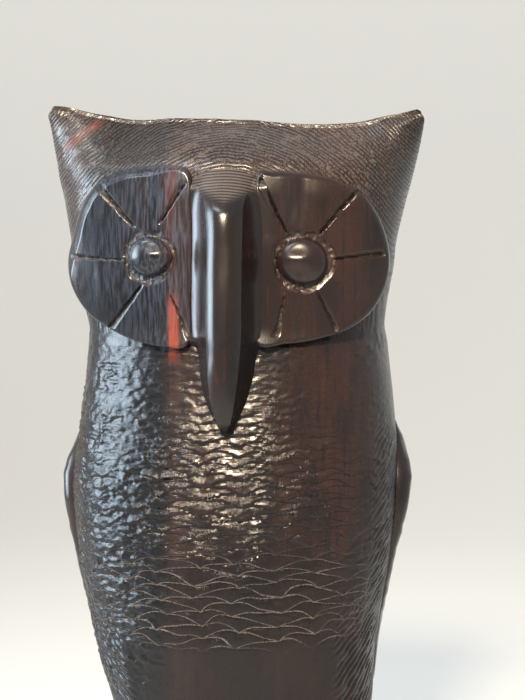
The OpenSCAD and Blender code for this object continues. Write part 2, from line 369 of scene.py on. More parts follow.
class Value:
    """A socket in a material. Arithmetic on it adds Math nodes."""

    def __init__(self, wood, socket):
        self.wood, self.socket = wood, socket

    def math(self, operation, *others):
        """Adds a Math node that works on this value and the others."""
        return self.wood.node("ShaderNodeMath", {"operation": operation}, self, *others)

    def __add__(self, other):
        return self.math("ADD", other)

    def __sub__(self, other):
        return self.math("SUBTRACT", other)

    def __mul__(self, other):
        return self.math("MULTIPLY", other)

    def __truediv__(self, other):
        return self.math("DIVIDE", other)

    def __rsub__(self, other):
        return (self * -1.0) + other

    def __rtruediv__(self, other):
        return self.math("POWER", -1.0) * other

    def __pow__(self, other):
        return self.math("POWER", other)

    __radd__, __rmul__ = __add__, __mul__

    def fract(self):
        """What is left over the whole number below."""
        return self.math("FRACT")

    def floor(self):
        """The whole number below."""
        return self.math("FLOOR")

    def abs(self):
        """The size without the sign."""
        return self.math("ABSOLUTE")

    def low(self, other):
        """The lower of the two."""
        return self.math("MINIMUM", other)

    def high(self, other):
        """The higher of the two."""
        return self.math("MAXIMUM", other)

    def between(self, low, high):
        """Smooth step from 0 at low to 1 at high."""
        return self.wood.node(
            "ShaderNodeMapRange", {"interpolation_type": "SMOOTHSTEP"}, self, low, high, 0.0, 1.0
        )


class Wood:
    """One procedural wood material: helpers that add nodes, and its main shader."""

    def __init__(self, name):
        self.material = bpy.data.materials.new(name)
        self.material.use_nodes = True
        self.tree = self.material.node_tree
        self.shader = self.tree.nodes["Principled BSDF"]
        place = self.node("ShaderNodeTexCoord", {}, out="Object")
        self.place = self.node("ShaderNodeVectorMath", {"operation": "SCALE"}, place, scale=1 / MM)
        self.x, self.y, self.z = (
            self.node("ShaderNodeSeparateXYZ", {}, self.place, out=axis) for axis in "XYZ"
        )

    def node(self, kind, settings, *inputs, out=0, **named):
        """Adds a node. Its settings are set first, of which stops are a ramp's places and
        colours from 0 to 1, then its sockets by order or by name."""
        made = self.tree.nodes.new(kind)
        for key, value in settings.items():
            if key == "stops":
                elements = made.color_ramp.elements
                for place, color in value[1:-1]:
                    elements.new(place).color = color
                elements[0].color, elements[-1].color = value[0][1], value[-1][1]
            else:
                setattr(made, key, value)
        sockets = list(zip(made.inputs, inputs))
        sockets += [(made.inputs[key.replace("_", " ").title()], value) for key, value in named.items()]
        for socket, value in sockets:
            if isinstance(value, Value):
                self.tree.links.new(value.socket, socket)
            elif value is not None:
                socket.default_value = value
        return Value(self, made.outputs[out])

    def noise(self, scales, detail=3.0, roughness=0.5, shift=0.0):
        """Noise with its own scale along each axis, about 0.5."""
        vector = self.node("ShaderNodeVectorMath", {"operation": "MULTIPLY"}, self.place, scales)
        vector = self.node("ShaderNodeVectorMath", {"operation": "ADD"}, vector, (shift, shift, shift))
        return self.node("ShaderNodeTexNoise", {}, vector, scale=1.0, detail=detail, roughness=roughness)

    def amount(self, label):
        """A number that the mesh carries at each point."""
        return self.node("ShaderNodeAttribute", {"attribute_name": label}, out="Fac")

    def map(self, label):
        """The two coordinates of one of the mesh's own maps."""
        uv = self.node("ShaderNodeUVMap", {"uv_map": label})
        return [self.node("ShaderNodeSeparateXYZ", {}, uv, out=axis) for axis in "XY"]

    def mix(self, factor, first, second):
        """Colour between first, at a factor of 0, and second, at 1."""
        mixed = self.tree.nodes.new("ShaderNodeMix")
        mixed.data_type = "RGBA"
        for index, value in ((0, factor), (6, first), (7, second)):
            if isinstance(value, Value):
                self.tree.links.new(value.socket, mixed.inputs[index])
            else:
                mixed.inputs[index].default_value = value
        return Value(self, mixed.outputs[2])

    def finish(self, color, roughness, height, coat):
        """Feeds the shader: height is the fine relief in millimetres, coat the wax."""
        bump = self.node("ShaderNodeBump", {}, strength=1.0, distance=MM, height=height)
        for name, value in (("Base Color", color), ("Roughness", roughness), ("Normal", bump)):
            self.tree.links.new(value.socket, self.shader.inputs[name])
        self.shader.inputs["Specular IOR Level"].default_value = 0.4
        self.shader.inputs["Coat Weight"].default_value = coat
        self.shader.inputs["Coat Roughness"].default_value = 0.18
        return self.material


def rgb(r, g, b):
    """A linear colour from display values of 0 to 255, by the standard display curve."""
    c = np.array([r, g, b]) / 255
    return (*np.where(c <= 0.04045, c / 12.92, ((c + 0.055) / 1.055) ** 2.4), 1.0)


def gray(level):
    """A linear grey from one display value."""
    return rgb(level, level, level)


# Colour of dust, pale scratches and painted sheen; of the painted shade in cuts, engraved lines and hollows;
# and of the open pores
DUST_AND_SHEEN, CUT_SHADE, PORE = rgb(122, 110, 104), rgb(9, 8, 8), rgb(12, 10, 10)
# Bands of the heartwood as shares of the width from -X to +X. None stands for the black
# that the settings hold
HEART_BANDS = [
    (0.0, rgb(42, 33, 31)), (0.1, rgb(42, 33, 31)), (0.15, None), (0.33, None),
    (0.37, rgb(44, 33, 32)), (0.46, rgb(32, 23, 22)), (0.58, rgb(26, 20, 19)), (0.64, rgb(37, 26, 24)),
    (0.8, rgb(46, 29, 25)), (0.88, rgb(34, 26, 24)), (1.0, rgb(34, 28, 26)),
]
# Strength of the red streak as a grey, by shares of the height. Then its place and width
RED_BY_HEIGHT = [(where, gray(level)) for where, level in (
    (0.0, 0), (0.5, 10), (0.6, 20), (0.725, 10), (0.745, 250), (0.785, 250), (0.805, 40), (0.86, 85),
    (0.91, 110), (0.955, 0), (1.0, 0),
)]
RED_STREAK_X, RED_STREAK_HALF = -14.6, 1.9


def grain_color(wood):
    """Heartwood colour: bands that stand upright in the block, set out along x, bent by
    slow noise, with finer upright streaks and pores over them, a red streak that comes
    and goes with height, and a slanted one on the ear."""
    sway = wood.noise((0.03, 0.05, 0.014), detail=2.0)
    streak = wood.noise((0.8, 0.4, 0.03), detail=5.0, roughness=0.6, shift=3.0)
    mottle = wood.noise((0.16, 0.16, 0.05), detail=3.0, shift=17.0)
    pores = wood.noise((6.0, 6.0, 0.3), detail=2.0, shift=9.0)
    place = wood.x + (sway - 0.5) * 7.0 + (streak - 0.5) * 2.0
    looks = bpy.context.scene.owl_looks
    black, red = [*looks.black, 1.0], [*looks.red, 1.0]
    bands = [(where, black if color is None else color) for where, color in HEART_BANDS]
    width, height = 2 * float(CAD_BOX[1][0]) / MM, float(CAD_BOX[1][2]) / MM
    heart = wood.node("ShaderNodeValToRGB", {"stops": bands}, (place + width / 2) / width)
    by_height = wood.node("ShaderNodeValToRGB", {"stops": RED_BY_HEIGHT}, wood.z / height)
    core = 1.0 - (place - RED_STREAK_X).abs() / RED_STREAK_HALF
    red_streak = core.between(0.0, 0.5) * by_height * streak.between(0.3, 0.5)
    off = (wood.z - 252.6 - (wood.x + 42.0) * 0.72 + (sway - 0.5) * 3.0).abs()
    slanted = off.between(2.6, 0.9) * wood.x.between(-50.0, -46.0) * wood.x.between(-35.0, -39.0)
    slanted = slanted * mottle.between(0.3, 0.5)
    color = wood.mix(mottle.between(0.45, 0.65) * 0.5, heart, black)
    color = wood.mix(streak.between(0.5, 0.68) * 0.55, color, black)
    color = wood.mix(streak.between(0.4, 0.3) * 0.08, color, red)
    color = wood.mix((red_streak + slanted * 0.4).low(1.0), color, red)
    return wood.mix(pores.between(0.58, 0.75) * 0.6, color, PORE), pores


def polished():
    """Smooth, waxed wood: faces, beak, eyes, wings and feet. Cuts hold pale chips, and
    their deep bottoms are darkened as painted shade; the brow over the beak has rings about the middle of
    the engraving, paled between them by dust and painted sheen; and the face on -X has a painted reflection
    of the cool window in upright streaks."""
    wood = Wood("polished_wood")
    color, pores = grain_color(wood)
    smear = wood.noise((0.25, 0.25, 0.1), detail=4.0, shift=21.0)
    scratch = wood.noise((3.2, 3.2, 0.45), detail=4.0, roughness=0.6, shift=33.0)
    cut, deep = wood.amount("cut"), wood.amount("deep")
    chip = wood.noise((1.3, 1.3, 1.3), detail=4.0, roughness=0.7, shift=5.0)
    color = wood.mix(cut * chip.between(0.4, 0.65) * 0.25, color, rgb(100, 78, 60))
    # Painted shade: the bottoms of deep cuts and grooves are darkened.
    color = wood.mix(deep * 0.9, color, rgb(6, 5, 5))
    brow, across, up = wood.amount("brow"), wood.x - ENGRAVING_X, wood.z - ENGRAVING_Z
    pitch = bpy.context.scene.owl_carving.line_pitch
    ring = ((across * across + up * up) ** 0.5 / pitch + smear * 0.5).fract()
    ring = (ring * 2.0 - 1.0).abs()
    # Dust and painted sheen pale the strokes between the brow's engraved rings.
    color = wood.mix(brow * ring.between(0.9, 0.2) * 0.42, color, DUST_AND_SHEEN)
    # Painted reflection of the cool window: a bluish lightening of the face on -X, in upright streaks.
    window_sheen = wood.x.between(-46.0, -26.0) * 0.05 + wood.x.between(-34.0, -16.0) * 0.07
    window_sheen = window_sheen + wood.z.between(202.0, 214.0) * 0.07
    window_sheen = window_sheen * wood.x.between(-8.0, -11.0) * wood.z.between(160.0, 175.0)
    window_sheen = window_sheen * wood.noise((1.5, 1.5, 0.14), detail=4.0, shift=52.0).between(0.38, 0.66) * 1.5
    color = wood.mix(window_sheen * (1.0 - deep), color, rgb(90, 100, 122))
    roughness = 0.12 + smear * 0.2 + pores * 0.06 + cut * 0.25 + brow * 0.2
    height = scratch * 0.016 - pores * 0.012 + cut * chip * 0.3 - brow * ring * 0.09
    return wood.finish(color, roughness, height, 0.12)


def textured():
    """Engraved and stabbed wood: head, breast, flanks and tail. The map of arcs repeats
    the scallops' formula, so the painted shade of the stop cuts and the painted highlights on the lips lie
    on the carved ones; the map of lines does the same for the engraved lines, which get painted shade too.
    Dust and painted sheen pale the head, and below the chest the colour is darker."""
    wood = Wood("textured_wood")
    color, pores = grain_color(wood)
    across, up = wood.map("arcs")
    phase, along = wood.map("lines")
    arc_depth, line_depth, rough = (wood.amount(name) for name in ("arc", "line", "rough"))
    column = across.floor()
    share = across - column
    level = up - share * (1.0 - share) * (4 * SCALLOP_BULGE) - (column * 0.5).fract()
    rising, falling = (level - share * 0.5).fract(), (level + share * 0.5).fract()
    stop = (1.0 - (1.0 - rising.high(falling)) / 0.13).high(0.0) * arc_depth
    lip_edge = (1.0 - rising.low(falling) / 0.13).high(0.0) * arc_depth
    stroke = 1.0 - (phase.fract() * 2.0 - 1.0).abs()
    dash = wood.node("ShaderNodeCombineXYZ", {}, phase.floor() * 7.31, along)
    broken = wood.node("ShaderNodeTexNoise", {"noise_dimensions": "2D"}, dash, scale=1.0, detail=1.0)
    line = stroke.between(0.2, 0.9) * broken.between(0.3, 0.5) * line_depth
    fine = wood.noise((2.2, 2.2, 1.3), detail=2.0, roughness=0.6, shift=14.0)
    crumb = wood.noise((0.7, 0.7, 1.6), detail=3.0, roughness=0.6, shift=41.0)
    hatch = ((wood.x + wood.z * 0.9 + (fine - 0.5) * 1.6) * 1.75).fract()
    hatch = (hatch * 2.0 - 1.0).abs() * wood.noise((0.3, 0.3, 0.5), shift=2.0).between(0.4, 0.6)
    below_chest = wood.z.between(141.0, 132.0)
    # Painted shade: dark in the stop cuts, the engraved lines and the hollows of the rough stabbing.
    painted_shade = stop.between(0.1, 0.6) * 0.9 + line * 0.55 + crumb.between(0.45, 0.3) * rough * 0.5
    # Dust and painted sheen pale the head between its engraved lines, fainter in a band on -X and towards
    # +X.
    faint_band = wood.x.between(-44.0, -34.0) * wood.x.between(-8.0, -20.0)
    dust_and_sheen_level = 0.5 - faint_band * 0.22 - wood.x.between(32.0, 50.0) * 0.18
    dust_and_sheen = (1.0 - line) * fine.between(0.3, 0.7) * wood.z.between(205.0, 238.0) * dust_and_sheen_level
    color = wood.mix(dust_and_sheen, color, DUST_AND_SHEEN)
    # Darker below the chest.
    color = wood.mix(below_chest * 0.45, color, rgb(14, 12, 12))
    color = wood.mix(painted_shade.low(0.9), color, CUT_SHADE)
    # Painted highlights: pale lines along the proud lips of the arcs below the chest.
    lip_highlight = lip_edge.between(0.15, 0.5) * below_chest * fine.between(0.3, 0.6) * 0.55
    color = wood.mix(lip_highlight, color, rgb(130, 118, 114))
    roughness = 0.17 + fine * 0.16 + line * 0.15
    height = fine * 0.012 + crumb * rough * 0.12 - stop * 0.12 - line * 0.08
    height = height + hatch * 0.035 * (0.3 + arc_depth)
    return wood.finish(color, roughness, height, 0.0)


def plinth():
    """Turned, oiled wood of the base: upright grain and faint rings left by the tool."""
    wood = Wood("base_wood")
    color, pores = grain_color(wood)
    rings = (wood.z * 2.2 + wood.noise((0.1, 0.1, 0.1)) * 0.6).fract()
    height = (rings * 2.0 - 1.0).abs() * 0.02 - pores * 0.03
    return wood.finish(color, 0.36 + pores * 0.1, height, 0.15)


FINISHES = {"polished": polished, "textured": textured, "plinth": plinth}


# ---------------------------------------------------------------- pieces

# Share of the wing's height from its top down, then how far its front edge lies behind
# the middle plane there
WING_EDGE = np.array([
    [0.0, 12.0], [0.03, 3.0], [0.08, -4.0], [0.14, -9.0], [0.22, -11.0], [0.32, -10.5],
    [0.5, -6.0], [0.68, 2.0], [0.84, 12.0], [0.96, 22.0], [1.0, 26.0],
])


def crease(z):
    """The wing's front edge, as a distance behind the middle plane, at height z."""
    return curve_at(WING_EDGE, (WING_HIGH[2] - z) / (WING_HIGH[2] - WING_LOW[2]))


def pairs(first, second):
    """Two grids of numbers as the rows of one UV map."""
    return np.stack([first, second], -1).reshape(-1, 2)


def plain_cuts(points):
    """Values of a polished piece that has no cuts in it."""
    none = np.zeros(points.shape[0])
    return {"cut": none, "deep": none}


def scallop_steps(s, across, z):
    """Column and step of the breast's scallops at a distance across and a height z: even
    columns, steps that close up towards the neck, and both moved a little by noise."""
    low, collar, neck = 80.0, 160.0, 193.5
    steps = (collar - low) / s.scallop_pitch
    pitch = np.array([[low, 0.0], [collar, steps], [neck, steps + 13.5]])
    column = (across - 4.2) / s.scallop_width + 0.2 * noise(across / 9, z / 4.5, 5)
    step = curve_at(pitch, z) + 0.24 * noise(across / 6, z / 5, 7) + 0.14 * noise(across / 9, z / 14, 3)
    return column, step


def torso_zones(across, z):
    """How strongly the scallops, the flank strokes and the rough stabbing show, from 0 to
    1: products of smooth steps across and up the body."""
    breast = ease(z, 109, 114 + 3 * noise(across / 9, z / 14, 3)) * ease(-np.abs(across - 3), -60, -42)
    collar = 1 - 0.78 * ease(z, 157, 180)
    side = 1 - 0.4 * ease(across, 16, 40) - 0.35 * ease(-across, 18, 30)
    arc = breast * collar * side * (0.8 + 0.35 * noise(across / 4, z / 3, 11))
    border = 0.05 * (z - 100)
    flank = ease(np.abs(across - 1), 28 + border, 33 + border) * ease(-z, -128, -108)
    edge = ease(np.abs(across), 42, 48) * ease(-z, -178, -166) * ease(z, 110, 125)
    stabbed = ease(-across, 12, 26) * ease(z, 88, 108) * ease(across, -76, -60)
    return arc, np.maximum(flank, edge * 0.8), np.maximum(stabbed, 0.3 * breast)


def build_torso():
    """Body: superellipse rings, pushed along their normals by the relief. The breast has
    scallops, the collar below the face finer ones, the flanks slanted strokes; the belly
    between the flanks is smooth and bordered by a soft ridge. Under the wings the body
    is hollowed out of their way."""
    s = bpy.context.scene.owl_carving
    carved_z = 86
    z = np.concatenate([
        np.linspace(BASE_Z, carved_z, 54, endpoint=False), np.linspace(carved_z, NECK_Z, 242),
    ])
    x, y, across = around(torso_size(z), 276, 60)
    rows = z[:, None] * np.ones_like(x)
    points = np.stack([x + lean(z)[:, None], y, rows], -1)
    column, step = scallop_steps(s, across, rows)
    lip, stop = scallops(column, step)
    arc, flank, rough = torso_zones(across, rows)
    phase = (rows - np.abs(across) * 0.75) / s.stroke_pitch + 0.35 * noise(across / 6, rows / 6, 13)
    along = (np.abs(across) + rows * 0.75) / 4
    ridge = np.exp(-(((np.abs(across - 1) - 31) / 2.6) ** 2)) * ease(-rows, -120, -104)
    grain = noise(across / 2.2, rows / 0.9, 19) + 0.6 * noise(across / 0.9, rows / 0.6, 23)
    grain *= 1 + 0.5 * noise(across / 5, rows / 6, 89)
    edge = crease(rows)
    hollow = ease(y, edge, edge + 1.0) * ease(-rows, -WING_HIGH[2], -WING_HIGH[2] + 6)
    proud = s.scallop_depth * (0.5 + 0.5 * ease(rows, 131, 142)) * (lip - 0.45)
    relief = arc * (proud - s.stop_depth * stop) - s.stroke_depth * flank * strokes(phase, along, 17)
    relief += 0.5 * ridge + 0.28 * rough * grain + 0.3 * noise(across / 11, rows / 13, 29) - 0.9 * hollow
    relief *= ease(rows, BASE_Z, BASE_Z + 4)
    top = ease(rows, NECK_Z - 8, NECK_Z - 0.5)
    relief = (1 - top) * relief + top * collar_relief(across, rows)
    points = points + normals(points, True) * relief[..., None]
    maps = {"arcs": pairs(column, step), "lines": pairs(phase, along)}
    values = {"arc": arc.ravel(), "line": flank.ravel(), "rough": rough.ravel()}
    faces = [grid_faces(len(z), x.shape[1], True)]
    piece("torso", points.reshape(-1, 3), faces, "textured", "torso", maps=maps, values=values)


def head_bulges(x, y, z):
    """Swell of the forehead and brows over the smooth head: Gaussian mounds and hollows
    across it, faded by smooth steps up it, on its front only."""
    facing = ease(-y, -4, 12)
    forehead = 2.2 * np.exp(-(((x + 2) / 17) ** 2)) - 1.3 * np.exp(-(((np.abs(x + 2) - 27) / 9) ** 2))
    bulge = forehead * facing * ease(z, 226, 240) * ease(-z, -257, -246)
    bulge += 1.6 * np.exp(-((x / 9) ** 2) - ((z - 239) / 6.5) ** 2) * facing
    brow = np.exp(-(((np.abs(x) - 21) / 14) ** 2) - ((z - 242) / 6) ** 2)
    bulge += np.where(x > 0, 2.4, 1.0) * brow * ease(np.abs(x), 0, 8) * facing
    return bulge + 0.22 * noise(x / 6, z / 5, 47) * facing


def build_head():
    """Head and ear tufts: superellipse rings whose upper ones bend up to the tufts and
    close over a quarter turn in a rounded ridge, zipped shut along its middle. Engraved
    lines are circles about the middle of the face, in dashes."""
    s = bpy.context.scene.owl_carving
    front_columns, back_columns = 344, 96
    share = np.concatenate([
        np.linspace(0, 0.5, 36, endpoint=False),
        0.5 + 0.5 * np.sin(np.linspace(0, np.pi / 2, 170)) ** 0.9,
    ])
    z = NECK_Z + share * (CROWN_Z - NECK_Z)
    x, y, across = around(head_size(z), front_columns, back_columns)
    rows = z[:, None] + share[:, None] ** 6 * (curve_at(CROWN_LINE, x) - CROWN_Z)
    bend = np.linspace(0, np.pi / 2, 7)[1:, None]
    last = y[-1].mean()
    y = np.vstack([y, last + (y[-1] - last) * (0.12 + 0.88 * np.cos(bend))])
    x = np.vstack([x, x[-1] * (1 - 0.022 * (1 - np.cos(bend)))])
    rows = np.vstack([rows, rows[-1] + 1.1 * np.sin(bend)])
    across = np.vstack([across, np.repeat(across[-1:], len(bend), 0)])
    rows = rows - 0.7 * ease(rows, 215, 250)
    x = x + lean(rows)
    points = np.stack([x, y, rows], -1)
    radius = np.hypot(x - ENGRAVING_X, rows - ENGRAVING_Z) + 0.15 * np.abs(y)
    turn = np.arctan2(rows - ENGRAVING_Z, x - ENGRAVING_X)
    phase = radius / s.line_pitch + 0.5 * noise(x / 7, rows / 7, 31) + 0.25 * noise(x / 2.5, rows / 2.5, 37)
    along = turn * radius / 4
    line = 0.75 + 0.25 * noise(x / 9, rows / 9, 43)
    rough = 0.5 * ease(-x, 30, 44) + 0.6 * (1 - ease(rows, NECK_Z, NECK_Z + 12))
    relief = head_bulges(x, y, rows) - s.line_depth * line * strokes(phase, along, 41)
    top = ease(rows, NECK_Z + 1, NECK_Z + 9)
    relief = top * relief + (1 - top) * collar_relief(across, rows)
    points = points + normals(points, True) * relief[..., None]
    maps = {"lines": pairs(phase, along), "arcs": np.zeros((x.size, 2))}
    values = {"arc": np.zeros(x.size), "line": (line * top).ravel(), "rough": rough.ravel()}
    count = x.shape[1]
    start = (len(x) - 1) * count
    behind = start + np.arange(back_columns + 1)
    before = np.append(start, start + np.arange(count - 1, back_columns - 1, -1))
    faces = [grid_faces(len(x), count, True), zip_rims(behind, before)]
    piece(
        "head", points.reshape(-1, 3), faces, "textured", "head", "left_ear_tuft", "right_ear_tuft",
        maps=maps, values=values,
    )


# Each face: middle of the eye, the disc's outline as direction in degrees and reach from
# it, then its cuts as outer end, inner end, half width and depth, in millimetres from it
FACES = {
    "right": {
        "eye": (-20.3, 218.0), "eye_radius": 5.5, "eye_rise": 4.8, "top_rise": 2.8,
        "outline": [
            [-176, 24.3], [-156, 24.2], [-139, 23.8], [-121, 22.9], [-100, 23.2], [-80, 24.8],
            [-66, 26.0], [-47, 16.5], [-20, 12.2], [5, 11.6], [31, 13.4], [50, 18.0], [64, 25.2],
            [74, 25.4], [91, 24.5], [110, 24.8], [126, 25.4], [145, 24.3], [165, 23.4],
        ],
        "cuts": [
            [(-14.6, 19.9), (-4.0, 8.0), 1.5, 1.3], [(9.8, 19.4), (3.1, 8.8), 1.4, 1.2],
            [(-22.6, 0.2), (-6.9, -0.8), 1.0, 0.9], [(-12.0, -19.4), (-2.1, -7.3), 1.5, 1.2],
            [(10.9, -22.0), (5.6, -10.0), 1.2, 1.0],
        ],
    },
    "left": {
        "eye": (21.1, 216.8), "eye_radius": 6.4, "eye_rise": 5.0, "top_rise": 2.6,
        "outline": [
            [-178, 12.9], [-161, 13.8], [-142, 17.0], [-119, 25.6], [-102, 22.8], [-78, 21.4],
            [-56, 22.0], [-38, 22.6], [-20, 22.8], [-1, 22.9], [14, 22.9], [32, 23.3], [50, 24.0],
            [66, 23.4], [92, 23.6], [108, 25.0], [117, 26.4], [133, 18.6], [149, 15.2], [166, 13.2],
        ],
        "cuts": [
            [(-11.6, 22.2), (-4.0, 6.9), 1.6, 1.3], [(14.6, 19.3), (3.9, 6.6), 1.7, 1.4],
            [(21.4, 1.9), (7.4, 0.3), 1.6, 1.2], [(8.6, -18.8), (3.4, -8.0), 1.3, 1.1],
            [(-7.6, -19.9), (-5.0, -8.8), 1.3, 1.0],
        ],
    },
}
DISC_RISE = 3.4


def face_depth(x, z, top_rise=DISC_RISE):
    """How far forward the face of a disc stands: the head's own section, grown, but
    flatter beyond the eye and above it; near the brow it sinks to top_rise."""
    flat_z, flatter_out, flatter_up = 224, 0.68, 0.3
    out = np.abs(x)
    out = np.where(out > EYE_X, EYE_X + (out - EYE_X) * flatter_out, out)
    rise = DISC_RISE + (top_rise - DISC_RISE) * ease(z, 234, 243)
    size = head_size(np.where(z > flat_z, flat_z + (z - flat_z) * flatter_up, z))
    return front_depth(size + DISC_RISE, out) - DISC_RISE + rise


def cut_depth(u, v, outer, inner, half, depth):
    """A tapered V cut from its outer to its inner end: full depth at the outer end, with
    one steep wall and one sloped one."""
    (ax, az), (bx, bz) = outer, inner
    length = np.hypot(bx - ax, bz - az)
    dx, dz = (bx - ax) / length, (bz - az) / length
    along = ((u - ax) * dx + (v - az) * dz) / length
    off = (u - ax) * dz - (v - az) * dx + 0.12 * noise(along * 9, 0 * along, 51)
    width = half * (1.15 - 0.65 * np.clip(along, 0, 1))
    wall = np.where(off < 0, 1 + off / (width * 0.4), 1 - off / width)
    ends = ease(along, -0.06, 0.05) * ease(-along, -1.04, -0.9)
    return depth * np.clip(wall, 0, 1) * ends


def disc_carving(face, u, v, turn):
    """What is cut into a disc at u across and v up from the eye: the depth pressed in by
    its cuts and by the trench round the eye, and how far the trench is at work."""
    radius = np.hypot(u, v)
    pressed = np.zeros_like(u)
    for cut in face["cuts"]:
        pressed = np.maximum(pressed, cut_depth(u, v, *cut))
    # Where the cuts are deepest, which the polished finish darkens as painted shade.
    deep = ease(pressed, 0.55, 1.0)
    ring = face["eye_radius"] + 0.1
    wander = 0.5 * noise(turn / 22 + 0 * u, 0 * u, 55)
    trench = ease(radius, ring - 1, ring) * (1 - ease(radius, ring + 0.9 + wander, ring + 2.3 + wander))
    return np.maximum(pressed, 0.65 * trench), deep, trench


def disc_edge(turn, edge, eye_x):
    """How far a disc falls off towards its outline: a quarter round whose radius is
    nothing beside the beak, and on the disc at -X a bevel over the outer upper rim."""
    toward_beak = -np.sign(eye_x) * np.cos(np.radians(turn))
    rim = (1.3 + 0.6 * ease(np.sin(np.radians(turn)), -0.2, 0.7)) * (1 - ease(toward_beak, 0.5, 0.8))
    fall = rim - np.sqrt(np.clip(rim**2 - np.clip(rim - edge, 0, rim) ** 2, 0, None))
    bevel = 3.0 * ease(np.cos(np.radians(turn - 132)), 0.3, 0.75) * (eye_x < 0)
    return fall + 0.7 * np.clip(bevel - edge, 0, None)


def build_discs():
    """Facial discs: each a polar grid about the eye, out to a smooth outline, then over a
    rounded rim and back into the head. Radiating V cuts and a rough trench round the eye
    are pressed in along -y. Beside the beak there is no rim: the beak's flank grows
    out of the disc there."""
    turns, wall_rows = 420, 7
    turn = np.linspace(-180, 180, turns, endpoint=False)
    back = np.linspace(0, 1, wall_rows + 1)[1:, None]
    for side, face in FACES.items():
        eye_x, eye_z = face["eye"]
        knots = np.array(face["outline"], float)
        knots = np.vstack([knots[-3:] - [360, 0], knots, knots[:3] + [360, 0]])
        reach = curve_at(knots, turn)
        radius = np.linspace(0.02, 1, 114)[:, None] ** 0.9 * reach
        u, v = radius * np.cos(np.radians(turn)), radius * np.sin(np.radians(turn))
        pressed, deep, trench = disc_carving(face, u, v, turn)
        chatter = noise(u / 0.9, v / 0.9, 53) * ease(pressed, 0.15, 0.6)
        uneven = 0.3 * noise(u / 6, v / 9, 59) + 0.06 * noise(u / 1.6, v / 4, 57)
        relief = uneven * ease(np.abs(eye_x + u), 12, 17) + 0.2 * chatter - pressed
        depth = face_depth(eye_x + u, eye_z + v, face["top_rise"])
        depth = depth + relief - disc_edge(turn, reach[None, :] - radius, eye_x)
        edge_x, edge_z = eye_x + u[-1], eye_z + v[-1]
        seat = np.minimum(depth[-1] - 5, front_depth(head_size(np.maximum(edge_z, NECK_Z)), edge_x) - 1)
        tuck = 1 - 0.12 * back * ease(-np.sin(np.radians(turn)), 0.1, 0.5)
        depth = np.vstack([depth, depth[-1] + back * (seat - depth[-1])])
        u, v = np.vstack([u, u[-1:] * tuck]), np.vstack([v, v[-1:] * tuck])
        points = np.stack([eye_x + u, -depth, eye_z + v], -1).reshape(-1, 3)
        under = np.zeros((wall_rows, turns))
        values = {
            "cut": np.vstack([ease(pressed, 0.05, 0.7) * (1 - 0.5 * trench), under]).ravel(),
            "deep": np.vstack([deep, under]).ravel(),
        }
        name = f"{side}_facial_disc"
        piece(name, points, [grid_faces(len(depth), turns, True)], "polished", name, values=values)


def build_eyes():
    """Eyes: domes on a polar grid, their height falling as a root of 1 - r to a power,
    drawn out to a soft point towards the beak, their summit moved that way too, on a
    short stem that goes into the disc."""
    stem_rows, stem = 4, 2.6
    turn = np.linspace(0, 2 * np.pi, 120, endpoint=False)
    share = np.sin(np.linspace(0.03, np.pi / 2, 44))[:, None]
    for side, face in FACES.items():
        eye_x, eye_z = face["eye"]
        inward = -np.sign(eye_x)
        point = np.exp(-((1 - inward * np.cos(turn)) / 0.22))
        reach = face["eye_radius"] * (1 + 0.2 * point)
        u = share * reach * np.cos(turn) + inward * 1.5 * (1 - share**2)
        v = share * reach * np.sin(turn) + 0.3 * (1 - share**2)
        keel = 1 - 0.14 * np.sin(turn) ** 2 * np.sin(np.pi * share) ** 2
        seat = face_depth(np.array(eye_x), np.array(eye_z)) - 0.8
        depth = seat + face["eye_rise"] * (1 - share**2.4) ** 0.5 * keel
        depth = np.vstack([depth, depth[-1] - np.linspace(0, 1, stem_rows + 1)[1:, None] * stem])
        u = np.vstack([u, np.repeat(u[-1:], stem_rows, 0)])
        v = np.vstack([v, np.repeat(v[-1:], stem_rows, 0)])
        points = np.stack([eye_x + u, -depth, eye_z + v], -1).reshape(-1, 3)
        name, faces = f"{side}_eye", [grid_faces(len(depth), len(turn), True)]
        piece(name, points, faces, "polished", name, values=plain_cuts(points))


# Height, half width of the foot, half width of the ridge, front of the ridge
BEAK_PROFILE = np.array([
    [171.4, 1.0, 0.6, 44.0], [174.0, 3.6, 1.8, 46.4], [179.0, 6.0, 3.0, 49.0], [186.0, 7.9, 3.9, 50.7],
    [192.0, 8.8, 4.3, 51.4], [197.0, 11.4, 4.6, 51.7], [208.0, 12.5, 4.7, 51.2], [220.0, 12.5, 4.7, 50.4],
    [229.0, 12.2, 4.9, 49.5], [232.5, 11.6, 5.4, 47.0], [236.0, 11.0, 6.6, 42.6], [240.0, 10.4, 7.6, 38.4],
    [246.0, 9.4, 8.4, 31.8],
])


